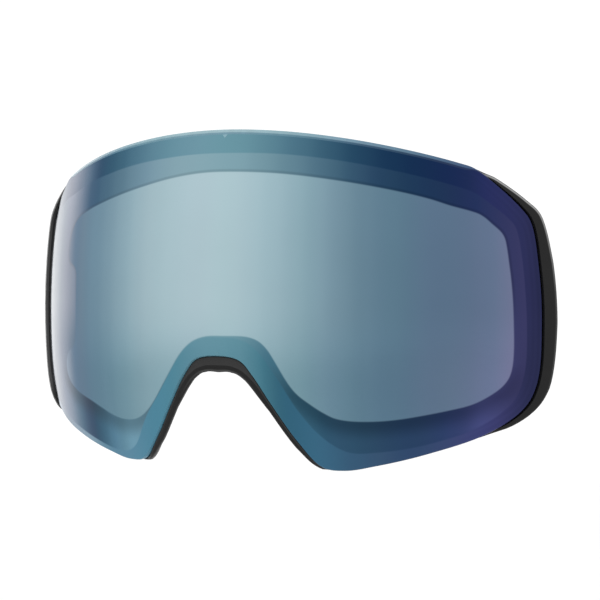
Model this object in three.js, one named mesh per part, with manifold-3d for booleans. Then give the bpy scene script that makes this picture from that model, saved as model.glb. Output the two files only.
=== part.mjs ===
// Ski goggles: a double lens on a magnetic carrier, in front of a frame with face foam, release
// levers and strap clips. Millimetres. +Z is up, the lens faces -Y and +X is the wearer's left.
// The origin is at the bottom of the goggles, in the middle of their box.
//
// Everything that follows the lens is drawn in lens coordinates: a runs sideways along the curve of
// the lens, v runs up it, and d is the depth behind its outer surface.
import * as THREE from 'three';
import { mergeVertices } from 'three/addons/utils/BufferGeometryUtils.js';
import Module from 'manifold-3d';

const wasm = await Module();
wasm.setup();

// ---------- driving dimensions ----------
const SIDE_RADIUS = 128; // curve of the lens from side to side
const TALL_RADIUS = 320; // curve of the lens from top to bottom
const SHEET_ROWS = 8;

const LENS_THICK = 2.0;
const LENS_BEVEL = 1.1;
const INNER_LENS_THICK = 1.0;
const PLATE_THICK = 2.0;
const RIM_GAP = 0.35; // between the lens and the rim round it
const RIM_SUNK = 0.7; // depth of the rim's front over the nose
const SIDE_PROUD = 0.6; // how far the rim stands in front of the lens at the sides
const GAP = 0.4; // between layers that touch on the real goggles
const PLATE_FRONT = LENS_THICK + GAP;
const PLATE_BACK = PLATE_FRONT + PLATE_THICK;
const LAYER_GAP = 0.9; // the same, behind the carrier, where the walls lean
const GASKET_THICK = 2.9;
const RIB_BACK = 9.0; // depth of the carrier's rib
const CHASSIS_THICK = 2.6;
const SKIRT_DEEP = 7.1;
const SKIRT_WALL = 1.6;
const FOAM_LAYERS = { face_foam_base: 5.1, face_foam_middle: 3.6, face_foam_fleece: 1.6 };
const NOSE_SQUEEZE = 0.6; // how much thinner the frame is over the nose
const LEG_SWEEP = 1.5; // how far the two legs beside the nose lean back towards the cheeks
const DEEP_TURN = 0.7; // behind the carrier the walls turn this share of the way to the surface normal

const MAGNET = { long: 10, wide: 2.6, thick: 1.5, clear: 0.3, sunk: 0.2 };
const PIN_RADIUS = 1.1;
const PIN_CLEARANCE = 0.07;

// Half of the outline, from the top of the lens round its side to the top of the nose arch.
// Each row is a point on the lens edge (a, v), the point on the edge of the clear window that it
// pairs with (a, v), how far the black rim stands out past the lens there, and the number of
// stations from this row to the next.
const OUTLINE = [
  [0, 59.0, 0, 46.2, -1.6, 2],
  [22, 58.0, 20, 45.0, -1.6, 2],
  [43, 55.4, 40, 42.8, -1.6, 2],
  [62, 51.8, 58, 39.7, -1.6, 2],
  [77.8, 47.9, 73.3, 36.0, -1.6, 1],
  [83.3, 46.1, 79.6, 34.6, 0.3, 2],
  [89.1, 41.9, 84.8, 31.8, 1.6, 2],
  [97.8, 34.1, 90.4, 26.6, 2.7, 2],
  [101.1, 29.6, 92.5, 23.3, 3.6, 2],
  [103.4, 15.8, 94.9, 13.5, 4.5, 2],
  [104.3, -1.7, 96.3, -2, 4.7, 2],
  [103.1, -19.8, 95.6, -16.2, 4.0, 3],
  [99.2, -27.6, 91.8, -23.0, 2.6, 3],
  [87.6, -35.4, 83.2, -27.5, 0.9, 2],
  [68, -41.9, 66, -31.2, -1.4, 2],
  [52, -45.7, 53, -33.4, -1.6, 2],
  [41.5, -47.4, 45, -34.1, -1.0, 3],
  [34.2, -46.4, 38, -33.0, 1.1, 2],
  [26.7, -38.6, 32, -29.2, 2.2, 1],
  [19.2, -27.9, 25.8, -22.4, 2.2, 2],
  [12.6, -18.2, 20, -14.2, 3.4, 3],
  [8.1, -13.6, 12.8, -7.7, 5.0, 3],
  [0, -12.3, 0, -6.0, 5.1, 3],
];
const CORNER_ROW = 12; // the curved sheets' rows run from this corner to the one across

// ---------- stations round the outline ----------
const half = OUTLINE.map(([a, v, wa, wv, rim]) => ({ edge: [a, v], inner: [wa, wv], rim }));
const flip = ([a, v]) => [-a, v];
const across = half.slice(1, -1).reverse().map(
  ({ edge, inner, rim }) => ({ edge: flip(edge), inner: flip(inner), rim }));
const rows = [...half, ...across];
const roundCurve = (key) => new THREE.CatmullRomCurve3(
  rows.map((row) => new THREE.Vector3(...row[key], 0)), true, 'centripetal');
const edgeCurve = roundCurve('edge');
const windowCurve = roundCurve('inner');

// Where each station lies round the curve, counted in rows, and the station at each row.
const steps = OUTLINE.slice(0, -1).map((row) => row[5]);
const stationOfRow = steps.reduce((list, step) => [...list, list.at(-1) + step], [0]);
const halfTour = steps.flatMap((step, row) => Array.from({ length: step }, (_, i) => row + i / step));
const tour = [...halfTour, steps.length, ...halfTour.slice(1).reverse().map((row) => rows.length - row)];
const COUNT = tour.length;
const CORNER = stationOfRow[CORNER_ROW];

const smooth = (x, low, high) => THREE.MathUtils.smoothstep(x, low, high);
const mix = THREE.MathUtils.lerp;

// Station k: its edge and window points, the way out, and its share of nose (1 over the arch).
const stations = tour.map((row) => {
  const [edge, inner] = [edgeCurve, windowCurve].map((curve) => curve.getPoint(row / rows.length));
  const out = edge.clone().sub(inner).normalize();
  const nose = edge.y < 0 ? 1 - smooth(Math.abs(edge.x), 28, 84) : 0;
  const [before, after] = [Math.floor(row), Math.floor(row) + 1].map((i) => rows[i % rows.length].rim);
  return { edge, inner, out, nose, rim: mix(before, after, row % 1) };
});
const station = (k) => stations[((k % COUNT) + COUNT) % COUNT];

// The point at share t of the way from lens edge to window, or `past` millimetres outside the edge.
function at(k, t, past = 0) {
  const s = station(k);
  return s.edge.clone().lerp(s.inner, t).addScaledVector(s.out, past);
}

// Lens coordinates to millimetres in space.
function place(a, v, d) {
  const phi = a / SIDE_RADIUS;
  const psi = v / TALL_RADIUS;
  const near = Math.min(d, RIB_BACK);
  const rho = SIDE_RADIUS - TALL_RADIUS + (TALL_RADIUS - near) * Math.cos(psi);
  const point = new THREE.Vector3(
    rho * Math.sin(phi), SIDE_RADIUS - rho * Math.cos(phi), (TALL_RADIUS - near) * Math.sin(psi));
  const [p, q] = [DEEP_TURN * phi, DEEP_TURN * psi];
  const way = new THREE.Vector3(-Math.sin(p) * Math.cos(q), Math.cos(p) * Math.cos(q), -Math.sin(q));
  point.y += LEG_SWEEP * smooth(-v, 18, 50) * (1 - smooth(Math.abs(a), 50, 84));
  return point.addScaledVector(way, d - near);
}

// Behind the carrier's plate everything is squeezed over the nose.
function squeezed(d, nose) {
  if (d <= PLATE_BACK) return d;
  return PLATE_BACK + (d - PLATE_BACK) * (1 - NOSE_SQUEEZE * nose);
}

// The nose opening flares towards the face: the share its wall reaches at depth d.
const flare = (d) => 0.4 + 0.032 * (d - PLATE_BACK);

// ---------- solids ----------
function geometryOf(points, triangles) {
  const geometry = new THREE.BufferGeometry();
  const flat = points.flatMap((p) => [p.x, p.y, p.z]);
  geometry.setAttribute('position', new THREE.Float32BufferAttribute(flat, 3));
  geometry.setIndex(triangles);
  return geometry;
}

// A ring, or part of one, whose section is a polygon of [share t, depth d, the share over the nose,
// millimetres past the edge]. A section point may be a function of the station.
function ring(section, from = 0, to = COUNT) {
  const closed = to - from === COUNT;
  const n = section.length;
  const laps = closed ? COUNT : to - from + 1;
  const points = [];
  for (let i = 0; i < laps; i++) {
    const k = from + i;
    const s = station(k);
    for (const corner of section) {
      const [t, d, tNose = t, past = 0] = typeof corner === 'function' ? corner(s) : corner;
      const p = at(k, mix(t, tNose, s.nose), past);
      points.push(place(p.x, p.y, squeezed(d, s.nose)));
    }
  }
  const triangles = [];
  for (let i = 0; i < (closed ? laps : laps - 1); i++) {
    for (let j = 0; j < n; j++) {
      const [p, q] = [i * n + j, i * n + (j + 1) % n];
      const [r, s] = [((i + 1) % laps) * n + j, ((i + 1) % laps) * n + (j + 1) % n];
      triangles.push(p, q, s, p, s, r);
    }
  }
  if (!closed) {
    for (let j = 1; j < n - 1; j++) {
      const last = (laps - 1) * n;
      triangles.push(0, j + 1, j, last, last + j, last + j + 1);
    }
  }
  return geometryOf(points, triangles);
}

// A curved sheet with the outline at share t, from depth `front` to `back`, bevelled at the front.
function sheet(t, tNose, front, back, bevel) {
  const points = [];
  const triangles = [];
  const across = COUNT / 2;
  const skin = (depth, inset) => {
    const start = points.length;
    for (let i = 0; i <= across; i++) {
      const [high, low] = [CORNER - i, CORNER + i].map((k) => {
        const s = station(k);
        return at(k, mix(t, tNose, s.nose), -inset);
      });
      for (let j = 0; j <= SHEET_ROWS; j++) {
        const p = low.clone().lerp(high, j / SHEET_ROWS);
        points.push(place(p.x, p.y, depth));
      }
    }
    return (i, j) => start + i * (SHEET_ROWS + 1) + j;
  };
  const rimOf = (id) => [
    ...Array.from({ length: across }, (_, i) => id(i, SHEET_ROWS)),
    ...Array.from({ length: across }, (_, i) => id(across - i, 0)),
  ];
  const [faceFront, faceBack] = [skin(front, bevel), skin(back, 0)];
  for (let i = 0; i < across; i++) {
    for (let j = 0; j < SHEET_ROWS; j++) {
      for (const [id, order] of [[faceFront, [0, 1, 2]], [faceBack, [0, 2, 1]]]) {
        const quad = [id(i, j), id(i, j + 1), id(i + 1, j + 1), id(i + 1, j)];
        for (const three of [[0, 1, 2], [0, 2, 3]]) {
          triangles.push(...order.map((o) => quad[three[o]]));
        }
      }
    }
  }
  // The wall: the front rim, a middle ring where the bevel ends, and the back rim.
  const loops = [rimOf(faceFront)];
  if (bevel > 0) {
    const start = points.length;
    for (let i = 0; i < COUNT; i++) {
      const k = CORNER - i;
      const s = station(k);
      const p = at(k, mix(t, tNose, s.nose));
      points.push(place(p.x, p.y, front + bevel));
    }
    loops.push(Array.from({ length: COUNT }, (_, i) => start + i));
  }
  loops.push(rimOf(faceBack));
  for (let l = 0; l < loops.length - 1; l++) {
    for (let i = 0; i < COUNT; i++) {
      const [p, q] = [loops[l][i], loops[l][(i + 1) % COUNT]];
      const [r, s] = [loops[l + 1][i], loops[l + 1][(i + 1) % COUNT]];
      triangles.push(p, r, s, p, s, q);
    }
  }
  return geometryOf(points, triangles);
}

// A flat outline of [x, y] points, extruded from z = low to z = high.
function slab(outline, low, high, holes = []) {
  const shape = new THREE.Shape(outline.map(([x, y]) => new THREE.Vector2(x, y)));
  for (const [x, y, r] of holes) {
    shape.holes.push(new THREE.Path().absarc(x, y, r, 0, 2 * Math.PI, true));
  }
  return new THREE.ExtrudeGeometry(shape, { depth: high - low, bevelEnabled: false, curveSegments: 6 })
    .translate(0, 0, low);
}

function upright(radius, long, sides = 12) {
  return new THREE.CylinderGeometry(radius, radius, long, sides).rotateX(Math.PI / 2);
}

// ---------- joins and cuts ----------
function solidOf(geometry) {
  const bare = geometry.clone();
  bare.deleteAttribute('normal');
  bare.deleteAttribute('uv');
  const merged = mergeVertices(bare, 1e-4);
  return new wasm.Manifold(new wasm.Mesh({
    numProp: 3,
    vertProperties: merged.attributes.position.array,
    triVerts: new Uint32Array(merged.index.array),
  }));
}

function geometryFrom(solid) {
  const { vertProperties, triVerts } = solid.getMesh();
  const geometry = new THREE.BufferGeometry();
  geometry.setAttribute('position', new THREE.BufferAttribute(vertProperties, 3));
  geometry.setIndex(new THREE.BufferAttribute(triVerts, 1));
  return geometry;
}

const cut = (geometry, tools) => geometryFrom(
  tools.reduce((solid, tool) => solid.subtract(solidOf(tool)), solidOf(geometry)));
const join = (geometry, others) => geometryFrom(
  others.reduce((solid, other) => solid.add(solidOf(other)), solidOf(geometry)));

// ---------- materials ----------
const paint = (color, roughness, metalness = 0, extra = {}) => new THREE.MeshStandardMaterial(
  { color, roughness, metalness, ...extra });
const MATERIALS = {
  mirror: paint(0x4f8498, 0.12, 0.7, { transparent: true, opacity: 0.75 }),
  clear: paint(0xa9c3cb, 0.2, 0, { transparent: true, opacity: 0.45 }),
  rim: paint(0x262626, 0.42),
  gasket: paint(0x2e3032, 0.9),
  frame: paint(0x1d1d1e, 0.5),
  foam: paint(0x303134, 0.98),
  fleece: paint(0x1b1b1d, 1.0),
  magnet: paint(0xb9bcc0, 0.3, 1.0),
  steel: paint(0x9da1a6, 0.3, 1.0),
  lever: paint(0x1a1a1b, 0.4),
};

const goggles = new THREE.Group();
function add(name, geometry, material, mirrored = false) {
  const mesh = new THREE.Mesh(geometry, MATERIALS[material]);
  mesh.name = name;
  if (mirrored) mesh.scale.x = -1;
  goggles.add(mesh);
  return mesh;
}

// ---------- bar magnets, in pockets on the ring ----------
const [HIGH, LOW] = [stationOfRow[3], stationOfRow[14]];
const MAGNET_SPOTS = { top_left: HIGH, top_right: -HIGH, bottom_left: LOW, bottom_right: -LOW };

// A bar lying flat along the ring at station k and share t, from depth `front` to depth `back`.
function barAt(k, t, front, back, long, wide) {
  const s = station(k);
  const middle = squeezed((front + back) / 2, s.nose);
  const spot = (p, d = middle) => place(p.x, p.y, d);
  const centre = spot(at(k, t));
  const along = spot(at(k + 1, t)).sub(spot(at(k - 1, t))).normalize();
  const across = spot(at(k, t + 0.1)).sub(spot(at(k, t - 0.1)));
  across.addScaledVector(along, -across.dot(along)).normalize();
  const deeper = along.clone().cross(across);
  if (deeper.dot(spot(at(k, t), middle + 1).sub(centre)) < 0) deeper.negate();
  return new THREE.BoxGeometry(long, wide, back - front)
    .applyMatrix4(new THREE.Matrix4().makeBasis(along, deeper.clone().cross(along), deeper))
    .translate(centre.x, centre.y, centre.z);
}

const MAGNET_SHARE = 0.31;
const magnetBar = (k, front) => barAt(k, MAGNET_SHARE, front, front + MAGNET.thick,
  MAGNET.long, MAGNET.wide);
const pocketBar = (k, front, back) => barAt(k, MAGNET_SHARE, front, back, MAGNET.long + 2 * MAGNET.clear,
  MAGNET.wide + 2 * MAGNET.clear);
const LENS_MAGNET_FRONT = RIB_BACK - MAGNET.thick - MAGNET.sunk;
const CHASSIS_FRONT = RIB_BACK + LAYER_GAP - 0.2;
const FRAME_MAGNET_FRONT = CHASSIS_FRONT + MAGNET.sunk;
const spots = Object.values(MAGNET_SPOTS);

// ---------- lens unit ----------
const rimDepth = (s) => mix(PLATE_FRONT - 0.08,
  mix(RIM_SUNK, -SIDE_PROUD, smooth(Math.abs(s.edge.x), 80, 92)), smooth(s.rim, 0.8, 1.7));
const flatWidth = (s) => Math.min(RIM_GAP, s.rim - 0.1);

const carrierSection = [
  (s) => [0, rimDepth(s), 0, flatWidth(s)],
  (s) => [0, PLATE_FRONT, 0, flatWidth(s) - 0.02],
  [0.5, PLATE_FRONT, 0.78],
  [0.5, RIB_BACK, 0.78],
  [0.12, RIB_BACK, flare(RIB_BACK)],
  [0.12, PLATE_BACK, flare(PLATE_BACK)],
  (s) => [0, PLATE_BACK, 0, mix(s.rim, 0.3, smooth(s.rim, 0.3, 2))],
  (s) => [0, rimDepth(s) + 1.4, 0, s.rim],
  (s) => [0, rimDepth(s) + 0.2, 0, s.rim - 0.3 * smooth(s.rim, 0.3, 2)],
];

function carrier() {
  const front = LENS_MAGNET_FRONT - MAGNET.clear;
  return cut(ring(carrierSection), spots.map((k) => pocketBar(k, front, RIB_BACK + 1)));
}

const GASKET_FRONT = PLATE_FRONT;
const GASKET_BACK = GASKET_FRONT + GASKET_THICK;
const INNER_FRONT = GASKET_BACK + GAP;
const BREATHER = { long: 7, wide: 2.6, thick: 1.6, share: 0.8 };

function gasket() {
  const body = ring([
    [0.62, GASKET_FRONT, 0.88], [1.0, GASKET_FRONT], [1.0, GASKET_BACK], [0.62, GASKET_BACK, 0.88],
  ]);
  const { share, thick, long, wide } = BREATHER;
  return cut(body, [barAt(0, share, GASKET_BACK - thick - 0.3, GASKET_BACK + 1, long + 0.6, wide + 0.6)]);
}

add('outer_lens', sheet(0, 0, 0, LENS_THICK, LENS_BEVEL), 'mirror');
add('lens_carrier', carrier(), 'rim');
add('spacer_gasket', gasket(), 'gasket');
add('breather_plug', barAt(0, BREATHER.share, GASKET_BACK - BREATHER.thick, GASKET_BACK, BREATHER.long,
  BREATHER.wide), 'foam');
add('inner_lens', sheet(0.62, 0.9, INNER_FRONT, INNER_FRONT + INNER_LENS_THICK, 0), 'clear');
for (const [spot, k] of Object.entries(MAGNET_SPOTS)) {
  add(`lens_magnet_${spot}`, magnetBar(k, LENS_MAGNET_FRONT), 'magnet');
}

// ---------- frame ----------
const CHASSIS_BACK = CHASSIS_FRONT + CHASSIS_THICK;
const SKIRT_FRONT = CHASSIS_BACK + LAYER_GAP;
const SKIRT_BACK = SKIRT_FRONT + SKIRT_DEEP;
const VENT = { wide: 13, tall: 3.6, through: 16 };
const VENT_ROWS = [0, 1, 2, 3, 13, 14];
const VENT_SPOTS = VENT_ROWS.flatMap((row) => (row === 0 ? [0] : [stationOfRow[row], -stationOfRow[row]]));

function chassis() {
  const body = ring([
    [0.12, CHASSIS_FRONT, flare(CHASSIS_FRONT)], [0.6, CHASSIS_FRONT, 0.8],
    [0.6, CHASSIS_BACK, 0.9], [0.12, CHASSIS_BACK, flare(CHASSIS_BACK)],
  ]);
  const back = FRAME_MAGNET_FRONT + MAGNET.thick + MAGNET.clear;
  return cut(body, spots.map((k) => pocketBar(k, CHASSIS_FRONT - 1, back)));
}

// A box through the skirt's wall at station k.
function ventTool(k) {
  const front = SKIRT_FRONT + 1.2;
  return barAt(k, 0.3, front, front + VENT.tall, VENT.wide, VENT.through);
}

function skirt() {
  const flange = SKIRT_BACK - SKIRT_WALL;
  const wall = 0.15;
  const body = ring([
    [0.2, SKIRT_FRONT, flare(SKIRT_FRONT)], [0.2 + wall, SKIRT_FRONT, flare(SKIRT_FRONT) + wall],
    [0.42 + wall, flange, flare(flange) + wall], [1.45, flange, 1.8],
    [1.45, SKIRT_BACK, 1.82], [0.42, SKIRT_BACK, flare(SKIRT_BACK)],
  ]);
  return cut(body, VENT_SPOTS.map(ventTool));
}

add('frame_chassis', chassis(), 'frame');
add('face_skirt', skirt(), 'frame');
for (const [spot, k] of Object.entries(MAGNET_SPOTS)) {
  add(`frame_magnet_${spot}`, magnetBar(k, FRAME_MAGNET_FRONT), 'magnet');
}
const ventFoam = (from, to) => ring([
  [0.68, SKIRT_FRONT + 0.3, 1.2], [0.84, SKIRT_FRONT + 0.3, 1.36],
  [0.84, SKIRT_BACK - SKIRT_WALL - 0.6, 1.36], [0.68, SKIRT_BACK - SKIRT_WALL - 0.6, 1.2],
], from, to);
const [LAST_TOP, FIRST_LOW, LAST_LOW] = [4, 13, 15].map((row) => stationOfRow[row]);
add('vent_foam_top', ventFoam(-LAST_TOP, LAST_TOP), 'foam');
add('vent_foam_bottom_left', ventFoam(FIRST_LOW - 1, LAST_LOW), 'foam');
add('vent_foam_bottom_right', ventFoam(-LAST_LOW, 1 - FIRST_LOW), 'foam');

let foamFront = SKIRT_BACK + LAYER_GAP;
for (const [name, thick] of Object.entries(FOAM_LAYERS)) {
  const foamBack = foamFront + thick;
  add(name, ring([
    [0.5, foamFront, flare(foamFront)], [1.42, foamFront, 1.82],
    [1.42, foamBack, 1.84], [0.52, foamBack, flare(foamBack)],
  ]), name === 'face_foam_fleece' ? 'fleece' : 'foam');
  foamFront = foamBack + LAYER_GAP;
}

// ---------- side hardware, drawn for the wearer's left and mirrored ----------
const LEVER_PIVOT = [83.6, 56.5];
const CLIP_PIVOT = [77.5, 64.8];
const CLIP_LEAN = THREE.MathUtils.degToRad(30); // the clips rest folded in by this much
const BRACKET_TALL = [-25.6, 25.6];
const EAR_THICK = 2;
const LEVER_TALL = [-7, 11];
const CLIP_TALL = [-23.2, 23.2];
const STRAP_SLOT = { tall: 41, wide: 7.2, bar: 3 };
const CLIP_LONG = 21.5;
const CLIP_THICK = 2.6;
const BARREL_RADIUS = 2.7;
const pinHole = (pivot) => [...pivot, PIN_RADIUS + PIN_CLEARANCE];

function catchPlate() {
  return slab([[87.2, 45.9], [88.2, 44.6], [89.6, 45.9], [89.2, 54], [87.2, 54]], -8, 12);
}

function bracket() {
  const ear = [[86.0, 49], [86.2, 56.5], [84.6, 60], [80.6, 67.4], [76.6, 68], [74.6, 64.5],
    [79.6, 56], [80.9, 52.4], [84.2, 49.2]];
  const small = [[86.0, 54.5], [85.9, 58.2], [83.2, 59.4], [79.4, 56.6], [79.4, 53.4], [81.5, 53.4]];
  const holes = [pinHole(LEVER_PIVOT), pinHole(CLIP_PIVOT)];
  const [low, high] = BRACKET_TALL;
  const spine = slab([[79.5, 53.2], [81.0, 53.2], [81.0, 56.4], [79.5, 56.4]], low, high);
  return join(spine, [
    slab(ear, low, low + EAR_THICK, holes),
    slab(ear, high - EAR_THICK, high, holes),
    slab(small, LEVER_TALL[0] - 0.4 - 1.6, LEVER_TALL[0] - 0.4, [pinHole(LEVER_PIVOT)]),
    slab(small, LEVER_TALL[1] + 3.2, LEVER_TALL[1] + 4.8, [pinHole(LEVER_PIVOT)]),
  ]);
}

function lever() {
  const [x, y] = LEVER_PIVOT;
  const body = slab([
    [x + 3.2, y - 6.5], [x + 3.2, y - 3.6], [x + 2.4, y], [x + 1.4, y + 2.2], [x - 0.1, y + 8.6],
    [x - 1.8, y + 8.3], [x - 2.0, y + 1.4], [x - 1.8, y - 1.6], [x + 0.4, y - 3.2], [x + 1.6, y - 6.5],
  ], ...LEVER_TALL);
  const ribs = [2, 4, 6].map((step) => slab([
    [x + 1.1 - 0.22 * step, y + 1.7 + step], [x + 1.9 - 0.22 * step, y + 2.2 + step],
    [x + 0.9 - 0.22 * step, y + 2.7 + step],
  ], LEVER_TALL[0] + 1, LEVER_TALL[1] - 1));
  const hole = upright(PIN_RADIUS + PIN_CLEARANCE, 60).translate(x, y, 0);
  return cut(join(body, ribs), [hole]);
}

// A torsion spring's coil round the lever's pin, above the lever.
function spring() {
  const [turns, steps, radius] = [2, 10, 1.95];
  const points = Array.from({ length: turns * steps + 1 }, (_, i) => {
    const angle = i / steps * 2 * Math.PI;
    return new THREE.Vector3(radius * Math.cos(angle), radius * Math.sin(angle), i / steps * 1.0);
  });
  const wire = new THREE.Shape().absarc(0, 0, 0.3, 0, 2 * Math.PI);
  return new THREE.ExtrudeGeometry(wire, {
    steps: turns * steps,
    extrudePath: new THREE.CatmullRomCurve3(points),
    curveSegments: 3,
    bevelEnabled: false,
  }).translate(...LEVER_PIVOT, LEVER_TALL[1] + 0.6);
}

// The strap clip: a barrel on its pin and a plate with a slot for the strap, folded in at rest.
function clip() {
  const tall = CLIP_TALL[1] - CLIP_TALL[0];
  const plate = new THREE.BoxGeometry(CLIP_THICK, CLIP_LONG, tall).translate(0, CLIP_LONG / 2, 0);
  const slot = new THREE.BoxGeometry(10, STRAP_SLOT.wide, STRAP_SLOT.tall)
    .translate(0, CLIP_LONG - STRAP_SLOT.bar - STRAP_SLOT.wide / 2, 0);
  const barrel = upright(BARREL_RADIUS, tall);
  const hole = upright(PIN_RADIUS + PIN_CLEARANCE, tall + 2);
  return cut(join(barrel, [plate]), [slot, hole]).rotateZ(CLIP_LEAN).translate(...CLIP_PIVOT, 0);
}

const pinLong = BRACKET_TALL[1] - BRACKET_TALL[0] + 1.2;
const pin = ([x, y]) => upright(PIN_RADIUS, pinLong).translate(x, y, 0);
for (const [side, mirrored] of [['left', false], ['right', true]]) {
  add(`lens_catch_${side}`, catchPlate(), 'rim', mirrored);
  add(`side_bracket_${side}`, bracket(), 'frame', mirrored);
  add(`release_lever_${side}`, lever(), 'lever', mirrored);
  add(`lever_pin_${side}`, pin(LEVER_PIVOT), 'steel', mirrored);
  add(`lever_spring_${side}`, spring(), 'steel', mirrored);
  add(`strap_clip_${side}`, clip(), 'lever', mirrored);
  add(`strap_clip_pin_${side}`, pin(CLIP_PIVOT), 'steel', mirrored);
}

// ---------- origin at the middle of the box's bottom ----------
goggles.updateMatrixWorld(true);
const box = new THREE.Box3().setFromObject(goggles, true);
const centre = box.getCenter(new THREE.Vector3());
goggles.position.set(-centre.x, -centre.y, -box.min.z);

export default goggles;
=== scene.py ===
# Ski goggles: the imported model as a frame, with detailed lens, carrier, foams and finishes.
import math

import bmesh
import bpy
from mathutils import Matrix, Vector, noise
from mathutils.kdtree import KDTree


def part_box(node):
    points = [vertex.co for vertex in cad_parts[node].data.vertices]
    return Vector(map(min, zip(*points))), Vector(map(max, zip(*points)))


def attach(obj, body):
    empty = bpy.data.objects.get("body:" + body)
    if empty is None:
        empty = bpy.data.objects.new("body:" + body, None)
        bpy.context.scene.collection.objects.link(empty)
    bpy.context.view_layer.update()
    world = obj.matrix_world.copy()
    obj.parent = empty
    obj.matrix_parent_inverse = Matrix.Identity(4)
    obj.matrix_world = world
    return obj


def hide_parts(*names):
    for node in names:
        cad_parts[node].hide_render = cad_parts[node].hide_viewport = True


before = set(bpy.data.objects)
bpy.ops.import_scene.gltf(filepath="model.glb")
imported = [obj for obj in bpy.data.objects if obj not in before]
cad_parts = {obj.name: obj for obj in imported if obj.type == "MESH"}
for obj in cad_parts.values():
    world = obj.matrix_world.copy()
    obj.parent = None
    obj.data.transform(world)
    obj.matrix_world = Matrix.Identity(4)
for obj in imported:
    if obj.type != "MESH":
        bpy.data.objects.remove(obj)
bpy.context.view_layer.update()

MM = 0.001
scene = bpy.context.scene

# ---------------------------------------------------------------- lens coordinates
# a runs sideways along the lens, v up it, and d is the depth behind its outer surface, all in mm.
SIDE_RADIUS = 128.0
TALL_RADIUS = 320.0
PLATE_FRONT = 2.4
PLATE_BACK = 4.4
RIB_BACK = 9.0
NOSE_SQUEEZE = 0.6
LEG_SWEEP = 1.5
DEEP_TURN = 0.7
CORNER_ROW = 12
LENS_TOP = 58.464  # height of the lens's top edge over the middle of the curve, in mm

# Lens edge (a, v), clear window edge (a, v) and how far the rim stands out past the lens.
OUTLINE = [
    (0, 59.0, 0, 46.2, -1.6),
    (22, 58.0, 20, 45.0, -1.6),
    (43, 55.4, 40, 42.8, -1.6),
    (62, 51.8, 58, 39.7, -1.6),
    (77.8, 47.9, 73.3, 36.0, -1.6),
    (83.3, 46.1, 79.6, 34.6, 0.3),
    (89.1, 41.9, 84.8, 31.8, 1.6),
    (97.8, 34.1, 90.4, 26.6, 2.7),
    (101.1, 29.6, 92.5, 23.3, 3.6),
    (103.4, 15.8, 94.9, 13.5, 4.5),
    (104.3, -1.7, 96.3, -2, 4.7),
    (103.1, -19.8, 95.6, -16.2, 4.0),
    (99.2, -27.6, 91.8, -23.0, 2.6),
    (87.6, -35.4, 83.2, -27.5, 0.9),
    (68, -41.9, 66, -31.2, -1.4),
    (52, -45.7, 53, -33.4, -1.6),
    (41.5, -47.4, 45, -34.1, -1.0),
    (34.2, -46.4, 38, -33.0, 1.1),
    (26.7, -38.6, 32, -29.2, 2.2),
    (19.2, -27.9, 25.8, -22.4, 2.2),
    (12.6, -18.2, 20, -14.2, 3.4),
    (8.1, -13.6, 12.8, -7.7, 5.0),
    (0, -12.3, 0, -6.0, 5.1),
]
PER_ROW = 8  # stations from one row to the next

lens_low, lens_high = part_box("outer_lens")
SHIFT = Vector((0.0, lens_low[1], lens_high[2] - LENS_TOP * MM))


def mix(low, high, share):
    return low + (high - low) * share


def smooth(x, low, high):
    x = min(max((x - low) / (high - low), 0.0), 1.0)
    return x * x * (3 - 2 * x)


def spline(points, at):
    """A closed centripetal Catmull-Rom spline through 2-D points, at `at` points along it."""
    i = int(math.floor(at))
    w = at - i
    p = [Vector(points[(i + k) % len(points)]) for k in (-1, 0, 1, 2)]
    t = [max((p[k + 1] - p[k]).length ** 0.5, 1e-4) for k in range(3)]
    tangents = []
    for k in (0, 1):
        a, b, c = p[k], p[k + 1], p[k + 2]
        slope = (b - a) / t[k] - (c - a) / (t[k] + t[k + 1]) + (c - b) / t[k + 1]
        tangents.append(slope * t[1])
    m1, m2 = tangents
    a, b = p[1], p[2]
    c2 = (b - a) * 3 - m1 * 2 - m2
    c3 = (a - b) * 2 + m1 + m2
    return a + m1 * w + c2 * w * w + c3 * w * w * w


ROWS = OUTLINE + [(-a, v, -wa, wv, rim) for a, v, wa, wv, rim in reversed(OUTLINE[1:-1])]
EDGE = [row[0:2] for row in ROWS]
WINDOW = [row[2:4] for row in ROWS]
COUNT = len(ROWS) * PER_ROW
CORNER = CORNER_ROW * PER_ROW


class Station:
    def __init__(self, k):
        at = k / PER_ROW
        row = int(at) % len(ROWS)
        self.edge = spline(EDGE, at)
        self.window = spline(WINDOW, at)
        self.band = (self.edge - self.window).length
        self.inward = (self.window - self.edge) / self.band
        self.rim = mix(ROWS[row][4], ROWS[(row + 1) % len(ROWS)][4], at % 1)
        self.nose = 1 - smooth(abs(self.edge.x), 28, 84) if self.edge.y < 0 else 0.0

    def bevel(self):
        """Width of the edge's bevel: broad along the top, fine beside the rim and below."""
        return mix(1.75, 0.4, max(smooth(self.rim, -0.8, 1.0), smooth(-self.edge.y, -20, 5)))

    def share(self, t, t_nose=None):
        """Millimetres inward from the lens edge at share t of the way to the window."""
        return mix(t, t if t_nose is None else t_nose, self.nose) * self.band

    def at(self, inward):
        return self.edge + self.inward * inward


STATIONS = [Station(k) for k in range(COUNT)]


def place(a, v, d):
    phi = a / SIDE_RADIUS
    psi = v / TALL_RADIUS
    near = min(d, RIB_BACK)
    rho = SIDE_RADIUS - TALL_RADIUS + (TALL_RADIUS - near) * math.cos(psi)
    rise = (TALL_RADIUS - near) * math.sin(psi)
    point = Vector((rho * math.sin(phi), SIDE_RADIUS - rho * math.cos(phi), rise))
    p, q = DEEP_TURN * phi, DEEP_TURN * psi
    way = Vector((-math.sin(p) * math.cos(q), math.cos(p) * math.cos(q), -math.sin(q)))
    point.y += LEG_SWEEP * smooth(-v, 18, 50) * (1 - smooth(abs(a), 50, 84))
    return (point + way * (d - near)) * MM + SHIFT


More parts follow.
